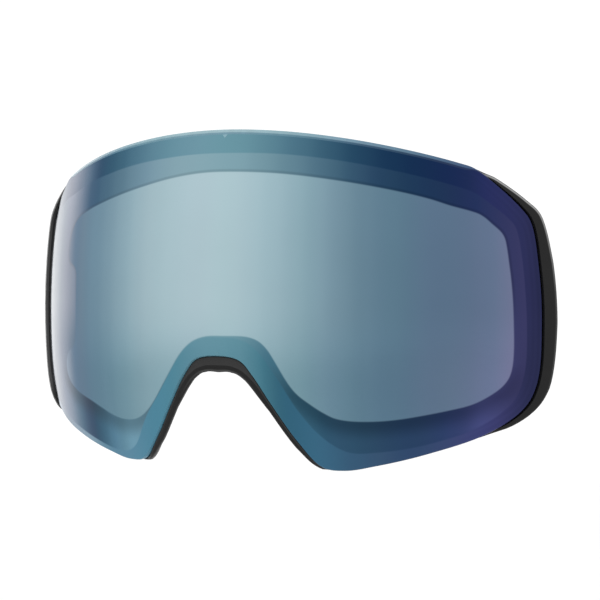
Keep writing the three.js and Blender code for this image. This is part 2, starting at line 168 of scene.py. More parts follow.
def facing(a, v):
    """The lens surface's outward normal."""
    phi, psi = a / SIDE_RADIUS, v / TALL_RADIUS
    return Vector((math.sin(phi) * math.cos(psi), -math.cos(phi) * math.cos(psi), math.sin(psi)))


def squeezed(d, nose):
    return d if d <= PLATE_BACK else PLATE_BACK + (d - PLATE_BACK) * (1 - NOSE_SQUEEZE * nose)


def flare(d):
    return 0.4 + 0.032 * (d - PLATE_BACK)


# The clear window's edge and the step inside the dark border, as they show through the lens.
# Each is a closed line of points (a, v), clockwise from the top.
WINDOW_SEEN = [
    (0, 45.4), (20, 44.7), (40, 42.3), (58, 39.1), (69, 36.5), (75.3, 34.5), (81.7, 32.8), (84.3, 31.9),
    (86.1, 30.8), (88.2, 29), (91.2, 26.3), (92.3, 24.4), (93, 21), (93.5, 17), (94, 13), (94.6, 6),
    (94.9, -1.8), (95, -10), (94.6, -15), (93.7, -18), (92, -20.4), (89.6, -22.4), (84.8, -25.2),
    (81, -26.7), (74, -28.3), (66.8, -29.7), (59.6, -30.9), (52.5, -31.6), (44, -31.6), (39.2, -30.8),
    (36.5, -29.6), (33.7, -28), (31.3, -26.4), (28.1, -24.1), (26.1, -22.1), (24.1, -19.4), (22.1, -16.2),
    (20, -12.8), (18, -9.9), (15.2, -7.4), (11.4, -6.1), (3.3, -5.9), (-4, -6.2), (-8.7, -7.7),
    (-12.2, -10.2), (-14.9, -13), (-17.6, -16.6), (-21.3, -21.5), (-25.5, -26.7), (-28.8, -29.9),
    (-32.1, -32.2), (-35.4, -33.5), (-38.9, -34), (-43.1, -33.9), (-47.6, -33.1), (-54.6, -30.9),
    (-61, -28.9), (-68.3, -27), (-73.1, -25.3), (-77.5, -22.6), (-79.5, -19.4), (-79.3, -16),
    (-76.9, -13.4), (-71.9, -11), (-70.4, -9.4), (-70.1, -6), (-69.8, 4), (-69.7, 11.5), (-70, 13.6),
    (-71.4, 15.1), (-74.1, 16.2), (-76.4, 17.4), (-77.1, 20.3), (-76.4, 24.4), (-75.1, 27.4),
    (-72.2, 30.4), (-68.9, 32.1), (-62.9, 34.1), (-54.7, 36.2), (-42.8, 39), (-32.5, 41.2), (-20, 43.6),
    (-9, 45),
]
STEP_SEEN = [
    (0, 51.3), (20.9, 50.7), (41.3, 48.3), (59.7, 44.8), (69.1, 42.6), (75.4, 40.9), (81.6, 39),
    (84, 37.8), (88.2, 34.8), (92.7, 31.3), (95.4, 28.5), (96.6, 25.3), (97.4, 20.5), (98, 15.5),
    (98.6, 8), (99.1, -2.4), (98.9, -14.2), (97.8, -19.8), (95.7, -24.8), (92.1, -28.3), (88.5, -31),
    (81.3, -34.7), (74.1, -37), (66.7, -39), (59.4, -40.4), (52, -41.3), (46, -41.7), (43, -41.3),
    (40.3, -40.3), (37.2, -38.5), (34.8, -36.6), (32.3, -34.3), (29.3, -30.8), (26.4, -26.9), (24, -23.1),
    (21.6, -19.4), (19.1, -15.9), (16.6, -12.5), (13.4, -9.3), (10.5, -7.5), (7, -6.6), (1.4, -6.4),
    (-4.6, -6.6), (-9, -8.2), (-12.4, -10.7), (-15.3, -13.9), (-19.4, -19.4), (-23.5, -24.6),
    (-27, -28.6), (-30, -32), (-32.7, -35.8), (-34.9, -39.2), (-37.1, -41.9), (-40.2, -43.8),
    (-44.5, -44.7), (-49.2, -44.3), (-54, -43.4), (-67.6, -39.8), (-86, -33.8), (-97, -27), (-101.5, -18),
    (-102, -3), (-101, 14.3), (-97, 30), (-85.7, 37), (-74.8, 40), (-62, 43.6), (-51.5, 45.8),
    (-42.2, 47.6), (-33.8, 48.9), (-24.2, 50), (-12, 51),
]


class SeenLine:
    """A closed line on the lens; depth(a, v) is the distance inside it in mm, negative outside."""

    def __init__(self, rows, per_row=10):
        self.points = [spline(rows, k / per_row) for k in range(len(rows) * per_row)]
        self.tree = KDTree(len(self.points))
        for k, p in enumerate(self.points):
            self.tree.insert((p.x, p.y, 0), k)
        self.tree.balance()

    def inside(self, a, v):
        odd = False
        for p, q in zip(self.points, self.points[1:] + self.points[:1]):
            if (p.y > v) != (q.y > v) and a < p.x + (v - p.y) * (q.x - p.x) / (q.y - p.y):
                odd = not odd
        return odd

    def depth(self, a, v):
        _, k, far = self.tree.find((a, v, 0))
        spot = Vector((a, v))
        for other in (k - 1, k + 1):
            p, q = self.points[k], self.points[other % len(self.points)]
            along = q - p
            u = min(max((spot - p).dot(along) / max(along.length_squared, 1e-9), 0), 1)
            far = min(far, (spot - p - along * u).length)
        return far if self.inside(a, v) else -far


# ---------------------------------------------------------------- materials
def socket_colour(hex_text):
    """A linear colour from a display colour such as "3a3566"."""
    values = [int(hex_text[i:i + 2], 16) / 255 for i in (0, 2, 4)]
    return [v / 12.92 if v <= 0.04045 else ((v + 0.055) / 1.055) ** 2.4 for v in values] + [1.0]


class Nodes:
    """A material's nodes, made and linked in short calls."""

    def __init__(self, name, **settings):
        self.material = bpy.data.materials.new(name)
        self.material.use_nodes = True
        self.tree = self.material.node_tree
        self.shader = self.tree.nodes["Principled BSDF"]
        for key, value in settings.items():
            self.shader.inputs[key.replace("_", " ").title().replace("Ior", "IOR")].default_value = value

    def new(self, kind, inputs=None, **settings):
        node = self.tree.nodes.new(kind)
        for key, value in settings.items():
            setattr(node, key, value)
        for key, value in (inputs or {}).items():
            self.put(node.inputs[key], value)
        return node

    def put(self, socket, value):
        if isinstance(value, bpy.types.NodeSocket):
            self.tree.links.new(value, socket)
        else:
            socket.default_value = value

    def set(self, name, value):
        self.put(self.shader.inputs[name], value)

    def attribute(self, name):
        return self.new("ShaderNodeAttribute", attribute_name=name).outputs["Fac"]

    def position(self):
        return self.new("ShaderNodeTexCoord").outputs["Object"]

    def stretched(self, scale):
        return self.new("ShaderNodeMapping", {"Vector": self.position(), "Scale": scale}).outputs["Vector"]

    def noise(self, scale, detail=3.0, roughness=0.5, vector=None):
        return self.new("ShaderNodeTexNoise", {
            "Vector": vector or self.position(), "Scale": scale, "Detail": detail, "Roughness": roughness,
        }).outputs["Fac"]

    def cells(self, scale):
        return self.new("ShaderNodeTexVoronoi", {
            "Vector": self.position(), "Scale": scale,
        }).outputs["Distance"]

    def math(self, operation, a, b=0.0, c=0.0):
        node = self.new("ShaderNodeMath", operation=operation)
        for socket, value in zip(node.inputs, (a, b, c)):
            self.put(socket, value)
        return node.outputs[0]

    def remap(self, value, low, high, to_low=0.0, to_high=1.0, kind="LINEAR"):
        return self.new("ShaderNodeMapRange", {
            "Value": value, "From Min": low, "From Max": high, "To Min": to_low, "To Max": to_high,
        }, interpolation_type=kind).outputs["Result"]

    def blend(self, factor, a, b, kind="MIX"):
        node = self.new("ShaderNodeMix", data_type="RGBA", blend_type=kind)
        self.put(node.inputs[0], factor)
        self.put(node.inputs[6], a)
        self.put(node.inputs[7], b)
        return node.outputs[2]

    def mottle(self, factor, low, high):
        """The base colour, between two display colours."""
        self.set("Base Color", self.blend(factor, socket_colour(low), socket_colour(high)))

    def ramp(self, factor, stops, kind="LINEAR"):
        node = self.new("ShaderNodeValToRGB", {"Fac": factor})
        node.color_ramp.interpolation = kind
        marks = node.color_ramp.elements
        while len(marks) < len(stops):
            marks.new(0.5)
        for mark, (where, colour) in zip(marks, stops):
            mark.position = where
            mark.color = colour
        return node.outputs["Color"]

    def scaled(self, colour, factor):
        grey = self.new("ShaderNodeCombineColor", {"Red": factor, "Green": factor, "Blue": factor})
        return self.blend(1.0, colour, grey.outputs[0], "MULTIPLY")

    def bump(self, height, strength, distance, normal=None):
        inputs = {"Height": height, "Strength": strength, "Distance": distance}
        if normal is not None:
            inputs["Normal"] = normal
        return self.new("ShaderNodeBump", inputs).outputs["Normal"]


# The mirror's colour across the lens, from the wearer's right (-110 mm) to the left (+110 mm). It is partly
# the coating's tint and the parts behind it as they show through, and partly a painted reflection of the
# studio; the lighter stops from about -94 to -66 mm at the wearer's right carry a painted highlight on top
# of the softbox's real one.
RANGE = 110.0
CLEAR_STOPS = [
    (-110, "657687"), (-77, "6c7a8d"), (-72, "4a6a85"), (-66, "557389"), (-60, "5e7f93"), (-52, "6c8b9c"),
    (-45, "7c99a7"), (-37, "8da9b4"), (-30, "9bb4bd"), (-22, "a3bcc4"), (-14, "a8c0c8"), (-6, "aac1c9"),
    (2, "a9c2c9"), (9, "a5bec6"), (16, "9db8c1"), (23, "93afb9"), (30, "86a4af"), (37, "7a97a5"),
    (45, "6a8797"), (52, "617e90"), (60, "5b788b"), (68, "5a7289"), (76, "5a7088"), (83, "5e708a"),
    (90, "65738f"), (100, "757595"),
]
BAND_STOPS = [
    (-110, "545f6a"), (-100, "545f6a"), (-94, "4b545d"), (-88, "5e6772"), (-84, "69727f"),
    (-79, "7b8292"), (-74, "7b8698"), (-69, "62758d"), (-64, "325775"), (-60, "23506f"), (-56, "315a75"),
    (-48, "4b6e83"), (-41, "5e7f91"), (-30, "7696a6"), (-20, "84a4b0"), (-10, "86a7b2"), (0, "82a5b0"),
    (10, "7b9eaa"), (20, "6b8e9c"), (30, "587a8c"), (41, "406177"), (50, "2e4b66"), (59, "243f5b"),
    (66, "203857"), (74, "213455"), (80, "243258"), (85, "29345c"), (98, "393a61"),
]
RIM_STOPS = [
    (-110, "525f6e"), (-90, "4f5864"), (-84, "5d6473"), (-79, "6b7283"), (-74, "6d798d"), (-69, "5d728a"),
    (-64, "3a5c79"), (-59, "0f4364"), (-54, "134966"), (-48, "2d5971"), (-42, "3f687e"), (-32, "577f92"),
    (-22, "658f9f"), (-11, "6d96a5"), (0, "6b97a4"), (11, "648f9d"), (22, "537b8d"), (32, "41677c"),
    (42, "2d5069"), (52, "1f3d5a"), (61, "183252"), (69, "182d50"), (77, "1b2b52"), (82, "212d55"),
    (87, "29305d"), (98, "2e3158"), (105, "272a49"),
]
LOW_BAND_STOPS = [
    (-110, "455365"), (-100, "455365"), (-94, "364150"), (-88, "404c5e"), (-84, "48556a"),
    (-77, "56697f"), (-70, "355d78"), (-64, "073d5f"), (-58, "104864"), (-52, "3c6981"), (-48, "517d95"),
    (-43, "618ca0"), (-38, "6f9aae"), (-24, "6b909f"), (-8, "64919f"), (8, "5e8b99"), (16, "4b788a"),
    (24, "3e687c"), (34, "335970"), (40, "32536c"), (46, "2f4e67"), (53, "2d4863"), (60, "2b4362"),
    (67, "2c4162"), (74, "304068"), (80, "39436f"), (86, "454a7b"), (96, "3b3c64"),
]
LOW_RIM_STOPS = [
    (-110, "556779"), (-90, "566474"), (-84, "4a5b6b"), (-75, "708698"), (-66, "7793a6"), (-59, "63889d"),
    (-52, "578299"), (-42, "5b889f"), (-30, "52869c"), (-23, "51879c"), (-16, "55899b"), (-8, "608f9f"),
    (0, "62909f"), (6, "5e8d9c"), (10, "5a8998"), (16, "497b8c"), (20, "3d6c7f"), (24, "36647b"),
    (34, "3b6680"), (42, "395c77"), (48, "385672"), (54, "38516e"), (61, "334a6b"), (68, "36496c"),
    (77, "3c4670"), (86, "3e4272"), (92, "393b67"), (100, "2d3052"),
]
# The bevel's colours across the lens are a painted reflection: a bright outer strip and a quieter inner one.
EDGE_REFLECTION_STOPS = [
    (-110, "c4cfd8"), (-74, "b4c4cc"), (-56, "83a3b2"), (-34, "8eb0bb"), (0, "9ebbc3"), (24, "8cadb8"),
    (44, "7595a8"), (64, "597890"), (84, "3c5175"), (100, "2b2f55"),
]
QUIET_EDGE_REFLECTION_STOPS = [
    (-110, "a9b6c2"), (-74, "8fa5b2"), (-56, "557c92"), (-34, "6b93a3"), (0, "7599a8"), (24, "5f8798"),
    (44, "3d6079"), (64, "213e5c"), (84, "222f55"), (100, "292c50"),
]
# What is left of the window's colour at its foot, before FOOT_GAIN.
FOOT_STOPS = [
    (-110, "d0dbde"), (-76, "cfdadd"), (-70, "c8d6db"), (-66, "c1cfd7"), (-58, "c3cfd3"), (-46, "bfced2"),
    (-36, "bdcace"), (-26, "bfcbcf"), (0, "c1cdd0"), (27, "c3ced1"), (37, "cad2d7"), (46, "d4dbde"),
    (61, "e3e1e5"), (74, "f3eceb"), (86, "fbf0f4"), (100, "f8eef2"),
]
FOOT_GAIN = 1.3
LOW_SHADE = 0.62  # how much of its light the border keeps at the foot of the window


def across(nodes, stops):
    """A colour ramp over the sideways coordinate."""
    place_on = nodes.remap(nodes.attribute("around"), -RANGE, RANGE)
    marks = [((a + RANGE) / (2 * RANGE), socket_colour(colour)) for a, colour in stops]
    return nodes.ramp(place_on, marks, "CARDINAL")


def mirror_material():
    # The base colour is painted by position from the tables above, with the painted reflection and painted
    # highlight in it; the metal shader and the lights add the real reflections.
    n = Nodes("mirror_coating_painted_reflection", metallic=1.0, coat_weight=0.0)
    around, height = n.attribute("around"), n.attribute("height")
    window, step = n.attribute("window"), n.attribute("step")
    low = n.remap(height, 6, -14, kind="SMOOTHSTEP")
    rim = n.blend(low, across(n, RIM_STOPS), across(n, LOW_RIM_STOPS))
    band = n.blend(low, across(n, BAND_STOPS), across(n, LOW_BAND_STOPS))
    # The border darkens towards the foot of the window, and along a fine line at the window's edge.
    near = n.math("MULTIPLY", n.remap(window, -7, -1, kind="SMOOTHSTEP"), n.remap(height, -14, -24))
    line = n.math("MULTIPLY", n.remap(window, -1.1, -0.5, kind="SMOOTHSTEP"), n.remap(height, 0, 12))
    shade = n.math("MULTIPLY", n.remap(near, 0, 1, 1.0, LOW_SHADE), n.remap(line, 0, 1, 1.0, 0.82))
    band = n.scaled(band, shade)
    clear = across(n, CLEAR_STOPS)
    foot = n.remap(height, 6, -22, kind="SMOOTHSTEP")
    lift = n.math("MULTIPLY", n.remap(foot, 0, 1, 1.0, FOOT_GAIN), n.remap(height, 0, 42, 1.0, 1.06))
    clear = n.blend(foot, n.scaled(clear, lift), across(n, FOOT_STOPS), "MULTIPLY")
    inside = n.blend(n.remap(window, -0.25, 0.35, kind="SMOOTHSTEP"), band, clear)
    colour = n.blend(n.remap(step, -0.25, 0.25, kind="SMOOTHSTEP"), rim, inside)
    # Moulded steps in the carrier show as faint lines in the border at the sides.
    lines = n.math("SINE", n.math("MULTIPLY", n.attribute("inward"), 3.4))
    sides = n.remap(n.math("ABSOLUTE", around), 70, 96, 0.0, 0.045)
    border = n.remap(n.attribute("inward"), 1.5, 6.5, 1.0, 0.0, "SMOOTHSTEP")
    gain = n.math("MULTIPLY_ADD", n.math("MULTIPLY", lines, sides), border, 1.0)
    cloud = n.remap(n.noise(38, 2.0), 0.3, 0.7, 0.91, 0.94)
    n.set("Base Color", n.scaled(colour, n.math("MULTIPLY", gain, cloud)))
    n.set("Roughness", n.remap(n.noise(220, 4.0), 0.35, 0.65, 0.11, 0.15))
    n.set("Normal", n.bump(n.noise(90, 2.0), 0.02, 0.0001))
    return n.material


def lens_edge_material():
    """The bevel's painted reflection: a bright outer strip and, nearer the face of the lens, a quieter one.
    """
    n = Nodes("lens_edge_painted_reflection", coat_weight=0.0, specular_ior_level=0.12)
    bright, quiet, foot = across(n, EDGE_REFLECTION_STOPS), across(n, QUIET_EDGE_REFLECTION_STOPS), across(n, LOW_RIM_STOPS)
    colour = n.blend(n.remap(n.attribute("deep"), 0.13, 0.19), quiet, bright)
    colour = n.blend(n.remap(n.attribute("height"), 20, 0), colour, foot)
    n.set("Base Color", n.scaled(colour, n.remap(n.noise(400, 3.0), 0.3, 0.7, 0.72, 0.8)))
    n.set("Roughness", n.remap(n.noise(600, 3.0), 0.3, 0.7, 0.3, 0.42))
    return n.material


def lens_back_material():
    n = Nodes("lens_back", roughness=0.08, coat_weight=0.5, coat_roughness=0.05)
    n.mottle(n.remap(n.noise(25, 2.0), 0.3, 0.7), "8b9aa4", "93a2ab")
    n.set("Roughness", n.remap(n.noise(180, 3.0), 0.35, 0.65, 0.06, 0.12))
    return n.material


def plastic_material(name, colour, roughness, grain=1400, grain_height=0.00004, coat=0.0):
    n = Nodes(name, coat_weight=coat, coat_roughness=0.25, specular_ior_level=0.22)
    base = socket_colour(colour)
    lighter = [c * 1.4 + 0.001 for c in base[:3]] + [1.0]
    n.set("Base Color", n.blend(n.remap(n.noise(60, 3.0), 0.35, 0.7, 0.0, 0.6), base, lighter))
    n.set("Roughness", n.remap(n.noise(240, 4.0), 0.3, 0.7, roughness - 0.06, roughness + 0.08))
    fine = n.noise(grain, 2.0)
    n.set("Normal", n.bump(fine, 0.35, grain_height))
    return n.material


def rim_material_with_painted_light():
    """The carrier's satin black with painted light: over the nose a painted lighter upper face and painted
    darker underside, a painted glint along its raised brim, and painted light on its outer side at the
    wearer's right.
    """
    n = Nodes("carrier_satin_black_painted_light", coat_weight=0.0, specular_ior_level=0.22)
    # Over the nose the upper face is painted lighter and the underside darker: painted light and shade.
    under = n.remap(n.attribute("under"), -0.12, 0.12, kind="SMOOTHSTEP")
    nose = n.remap(n.attribute("height"), 0, -8, kind="SMOOTHSTEP")
    middle = n.remap(n.math("ABSOLUTE", n.attribute("around")), 50, 60, 1.0, 0.0)
    shade = n.math("MULTIPLY", nose, middle)
    face = n.blend(under, socket_colour("262626"), socket_colour("0a0a0a"))
    colour = n.blend(shade, socket_colour("0f0f0f"), face)
    brim, height, around = n.attribute("brim"), n.attribute("height"), n.attribute("around")
    top = n.remap(n.attribute("level"), 1.0, 0.7)
    top = n.math("MULTIPLY", top, n.remap(n.attribute("proud"), 0.4, 1.2))
    # A light line along the brim's chamfer near the front: a painted glint, fading towards the bottom.
    line = n.math("MULTIPLY", n.remap(brim, 0.95, 0.7), n.remap(brim, 0.2, 0.4))
    line = n.math("MULTIPLY", line, n.remap(height, 8, 34, 0.14, 1.0))
    line = n.math("MULTIPLY", line, n.remap(height, -25, -12))
    colour = n.blend(n.math("MULTIPLY", line, top), colour, socket_colour("808080"))
    # The outer side at the wearer's right is painted lighter grey: painted light from the softbox.
    side = n.math("MULTIPLY", n.remap(around, -96, -100), n.remap(height, 36, 26))
    side = n.math("MULTIPLY", side, n.remap(height, -30, -22))
    colour = n.blend(n.math("MULTIPLY", side, top), colour, socket_colour("3d3d3d"))
    patch = n.remap(n.noise(60, 3.0), 0.35, 0.7, 1.0, 1.25)
    n.set("Base Color", n.scaled(colour, patch))
    n.set("Roughness", n.remap(n.noise(240, 4.0), 0.3, 0.7, 0.36, 0.48))
    n.set("Normal", n.bump(n.noise(1500, 2.0), 0.35, 0.00004))
    return n.material


def foam_material(name, colour, light, cell, depth):
    n = Nodes(name, roughness=0.95, sheen_weight=0.15, sheen_roughness=0.6, specular_ior_level=0.15)
    pores = n.cells(cell)
    fine = n.noise(cell * 2.2, 3.0)
    wobble = n.noise(45, 3.0)
    # The pits of the cells are painted darker than their walls, a painted shade in the pores, with random
    # tone from the fine noise.
    shade = n.math("MULTIPLY_ADD", fine, 0.5, n.math("MULTIPLY", pores, 0.8))
    n.mottle(n.remap(shade, 0.2, 0.8), colour, light)
    walls = n.bump(n.remap(pores, 0.0, 0.5), 0.9, depth)
    n.set("Normal", n.bump(wobble, 0.25, 0.0006, walls))
    return n.material


def fleece_material():
    n = Nodes("fleece", roughness=1.0, sheen_weight=0.5, sheen_roughness=0.45, specular_ior_level=0.1)
    nap = n.noise(2600, 5.0, 0.7, n.stretched((1.0, 1.0, 0.45)))
    tufts = n.noise(420, 4.0, 0.6)
    pile = n.math("MULTIPLY_ADD", nap, 0.6, n.math("MULTIPLY", tufts, 0.4))
    n.mottle(n.remap(pile, 0.3, 0.75), "18181a", "3a3a3e")
    n.set("Normal", n.bump(nap, 0.9, 0.0004, n.bump(tufts, 0.5, 0.0005)))
    return n.material


def metal_material(name, colour, roughness, stretch):
    n = Nodes(name, metallic=1.0, anisotropic=0.4)
    brushed = n.noise(900, 4.0, 0.6, n.stretched(stretch))
    n.mottle(n.remap(brushed, 0.3, 0.7, 0.0, 0.5), colour, "8c8d90")
    n.set("Roughness", n.remap(brushed, 0.3, 0.7, roughness - 0.06, roughness + 0.12))
    n.set("Normal", n.bump(brushed, 0.15, 0.00003))
    return n.material


def clear_material():
    n = Nodes("clear_pane", roughness=0.04, ior=1.49, alpha=0.32, coat_weight=0.3, coat_roughness=0.03)
    n.mottle(n.remap(n.noise(20, 2.0), 0.3, 0.7), "b9ccd0", "c4d4d6")
    n.set("Roughness", n.remap(n.noise(300, 3.0), 0.35, 0.7, 0.03, 0.09))
    return n.material


def mark_material(name, colour, light):
    n = Nodes(name, roughness=0.4)
    n.mottle(n.remap(n.noise(900, 2.0), 0.3, 0.7), colour, light)
    return n.material


MIRROR = mirror_material()
LENS_EDGE = lens_edge_material()
LENS_BACK = lens_back_material()
RIM = rim_material_with_painted_light()
FRAME_PLASTIC = plastic_material("frame_satin_black", "1a1a1b", 0.5, 1100)
SKIRT_RUBBER = plastic_material("skirt_soft_rubber", "151516", 0.68, 1900, 0.00006)
LEVER_PLASTIC = plastic_material("lever_semi_gloss", "141415", 0.3, 1600, 0.00002, 0.3)
CLIP_PLASTIC = plastic_material("clip_satin_black", "19191a", 0.45, 1300)
GASKET = foam_material("gasket_cell", "1b1c1e", "333538", 1500, 0.00015)
BREATHER = foam_material("breather_white", "b9b9b5", "dededa", 1800, 0.0001)
FOAM_BASE = foam_material("face_foam_firm", "1e1f22", "44464b", 900, 0.0004)
FOAM_MIDDLE = foam_material("face_foam_soft", "26282c", "54575d", 700, 0.0005)
VENT_FOAM = foam_material("vent_foam_open", "0f0f10", "37383b", 480, 0.0009)
FLEECE = fleece_material()
NICKEL = metal_material("nickel_plate", "b9bab8", 0.24, (1.0, 6.0, 1.0))
STEEL = metal_material("bright_steel", "a3a5a8", 0.26, (1.0, 1.0, 0.1))
CLEAR = clear_material()
MARK = mark_material("mark", "6f95a1", "789ca7")
QUIET_MARK = mark_material("quiet_mark", "4a7a88", "50808d")


# ---------------------------------------------------------------- meshes
def make_object(name, points, faces, materials, slots=None, smooth_shaded=True):
    mesh = bpy.data.meshes.new(name)
    mesh.from_pydata([tuple(p) for p in points], [], faces)
    for material in materials:
        mesh.materials.append(material)
    if slots:
        mesh.polygons.foreach_set("material_index", slots)
    mesh.polygons.foreach_set("use_smooth", [smooth_shaded] * len(mesh.polygons))
    mesh.update()
    shell = bmesh.new()
    shell.from_mesh(mesh)
    bmesh.ops.recalc_face_normals(shell, faces=shell.faces)
    shell.to_mesh(mesh)
    shell.free()
    piece = bpy.data.objects.new(name, mesh)
    scene.collection.objects.link(piece)
    return piece


def add_attribute(piece, name, values):
    layer = piece.data.attributes.new(name, "FLOAT", "POINT")
    layer.data.foreach_set("value", values)


def soften_edges(piece, width, angle=32, segments=2):
    """A fine bevel on the hard edges of a moulded piece, with flat faces kept flat."""
    bevel = piece.modifiers.new("edge", "BEVEL")
    bevel.width = width * MM
    bevel.segments = segments
    bevel.limit_method = "ANGLE"
    bevel.angle_limit = math.radians(angle)
    bevel.harden_normals = True


def filleted(corners, radii, steps):
    """A closed polygon of (x, y) with each corner rounded by its radius."""
    out = []
    n = len(corners)
    for i, (corner, radius) in enumerate(zip(corners, radii)):
        p = Vector(corner)
        before, after = Vector(corners[i - 1]) - p, Vector(corners[(i + 1) % n]) - p
        reach = min(radius, before.length * 0.45, after.length * 0.45)
        if radius <= 0 or reach < 1e-3:
            out.extend([p.copy() for _ in range(steps + 1)])
            continue
        start, end = p + before.normalized() * reach, p + after.normalized() * reach
        for k in range(steps + 1):
            u = k / steps
            out.append(start * (1 - u) ** 2 + p * (2 * u * (1 - u)) + end * u * u)
    return out


def ring_piece(name, section, radii, material, steps=3, first=0, last=None, ripple=None, tags=None):
    """A ring round the lens's outline whose section has rounded corners.

    section(station) gives corners as (millimetres inward from the lens edge, depth). tags maps an
    attribute's name to a function of the station, the millimetres out past the lens edge and the depth."""
    whole = last is None
    laps = COUNT if whole else last - first + 1
    points, faces, spots = [], [], []
    size = 0
    for i in range(laps):
        s = STATIONS[(first + i) % COUNT]
        outline = filleted(section(s), radii, steps)
        size = len(outline)
        middle = sum(outline, Vector((0, 0))) / size
        for j, p in enumerate(outline):
            if ripple:
                p = middle + (p - middle) * (1 + ripple(first + i, j / size))
            spot = s.at(p.x)
            spots.append((s, -p.x, p.y))
            points.append(place(spot.x, spot.y, squeezed(p.y, s.nose)))
    for i in range(laps if whole else laps - 1):
        here, there = i * size, ((i + 1) % laps) * size
        for j in range(size):
            k = (j + 1) % size
            faces.append((here + j, here + k, there + k, there + j))
    if not whole:
        faces.append(tuple(reversed(range(size))))
        faces.append(tuple(range((laps - 1) * size, laps * size)))
    piece = make_object(name, points, faces, [material])
    for key, value in (tags or {}).items():
        add_attribute(piece, key, [value(*spot) for spot in spots])
    return piece


def skin_of(points, faces, data, loops, depth, flipped, rows_inside=44):
    """One side of a lens: rings from the outermost loop to the last, then a grid across the middle.

    Each loop is a function of a station that gives millimetres inward from the lens edge.
    Returns the outermost ring's vertex numbers."""

    def add_point(a, v, inward):
        points.append(place(a, v, depth))
        data.append((inward, a, v, depth))
        return len(points) - 1

    def face(*corners):
        faces.append(tuple(reversed(corners)) if flipped else corners)

    rings = [[add_point(*s.at(loop(s)), loop(s)) for s in STATIONS] for loop in loops]
    for outer, inner in zip(rings, rings[1:]):
        for i in range(COUNT):
            k = (i + 1) % COUNT
            face(outer[i], inner[i], inner[k], outer[k])
    # The middle: columns run between the two halves of the last ring.
    rim = rings[-1]
    half = COUNT // 2
    columns = []
    for i in range(half + 1):
        high, low = rim[(CORNER - i) % COUNT], rim[(CORNER + i) % COUNT]
        if high == low:
            columns.append([high])
            continue
        (_, ha, hv, _), (_, la, lv, _) = data[high], data[low]
        steps = [j / rows_inside for j in range(1, rows_inside)]
        column = [add_point(mix(la, ha, u), mix(lv, hv, u), 12.0) for u in steps]
        columns.append([low] + column + [high])
    for left, right in zip(columns, columns[1:]):
        for j in range(rows_inside):
            if len(left) == 1:
                face(left[0], right[j + 1], right[j])
            elif len(right) == 1:
                face(left[j], left[j + 1], right[0])
            else:
                face(left[j], left[j + 1], right[j + 1], right[j])
    return rings[0]


def lens_piece(name, loops, wall, front, back, materials, lines=()):
    """A curved lens: two skins, and between them a wall of rings.

    wall holds (inward, depth) pairs, inward being a function of a station. lines holds
    (attribute, SeenLine) pairs for the front skin."""
    points, faces, data, slots = [], [], [], []
    rings = [skin_of(points, faces, data, loops, front, False)]
    slots += [0] * (len(faces) - len(slots))
    skin = len(points)
    last = skin_of(points, faces, data, loops[-3:], back, True)
    slots += [2] * (len(faces) - len(slots))
    for inward, depth in wall:
        ring = []
        for s in STATIONS:
            spot = s.at(inward(s))
            ring.append(len(points))
            points.append(place(spot.x, spot.y, depth))
            data.append((inward(s), spot.x, spot.y, depth))
        rings.append(ring)
    rings.append(last)
    for a, b in zip(rings, rings[1:]):
        for i in range(COUNT):
            k = (i + 1) % COUNT
            faces.append((a[i], a[k], b[k], b[i]))
    slots += [1] * (len(faces) - len(slots))
    piece = make_object(name, points, faces, materials, slots)
    for index, key in enumerate(("inward", "around", "height", "deep")):
        add_attribute(piece, key, [row[index] for row in data])
    for key, line in lines:
        front_skin = [line.depth(a, v) for _, a, v, _ in data[:skin]]
        add_attribute(piece, key, front_skin + [9.0] * (len(data) - skin))
    # Exact normals on the two skins, so that the reflections run smoothly.
    signs = {0: 1.0, 1: 0.0, 2: -1.0}
    normals = []
    for polygon in piece.data.polygons:
        sign = signs[polygon.material_index]
        normals += [tuple(facing(data[v][1], data[v][2]) * sign) for v in polygon.vertices]
    piece.data.normals_split_custom_set(normals)
    return piece


LENS_BODY = "lens_unit"
FRAME_BODY = "frame"

# ---------------------------------------------------------------- the outer lens
LENS_THICK = 2.0


def inward_by(share, extra=0.0, share_nose=None):
    return lambda s: s.share(share, share_nose) + extra


outer = lens_piece(
    "outer_lens_mirror",
    [Station.bevel, lambda s: s.bevel() + 1.3] + [inward_by(u) for u in (0.35, 0.5, 0.65, 0.82, 1.0)],
    [(lambda s: s.bevel() * 0.6, 0.16), (lambda s: 0.1, 0.55), (lambda s: 0.0, 0.75),
     (lambda s: 0.0, LENS_THICK - 0.2), (lambda s: 0.2, LENS_THICK)],
    0.0, LENS_THICK, [MIRROR, LENS_EDGE, LENS_BACK],
    [("window", SeenLine(WINDOW_SEEN)), ("step", SeenLine(STEP_SEEN))])
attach(outer, LENS_BODY)
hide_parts("outer_lens")


def triangle_mark(name, a, v, wide, tall, material):
    """A small moulded mark, a triangle set on the lens with its point at (a, v)."""
    flat = [(a, v), (a - wide / 2, v + tall), (a + wide / 2, v + tall)]
    points = [place(x, y, -0.03) for x, y in flat] + [place(x, y, 0.1) for x, y in flat]
    faces = [(0, 2, 1), (3, 4, 5), (0, 1, 4, 3), (1, 2, 5, 4), (2, 0, 3, 5)]
    if tall < 0:
        faces = [tuple(reversed(face)) for face in faces]
    piece = make_object(name, points, faces, [material], smooth_shaded=False)
    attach(piece, LENS_BODY)


triangle_mark("mark_top", 0.6, 56.1, 2.0, 1.1, MARK)
triangle_mark("mark_nose", 0.6, -10.7, 1.5, -0.7, QUIET_MARK)

# ---------------------------------------------------------------- the carrier, gasket and inner lens
RIM_GAP = 0.16
RIM_SUNK = 0.7
SIDE_PROUD = 1.1


def rim_depth(s):
    proud = mix(RIM_SUNK, -SIDE_PROUD, smooth(abs(s.edge.x), 84, 102))
    return mix(PLATE_FRONT - 0.08, proud, smooth(s.rim, 0.8, 1.7))


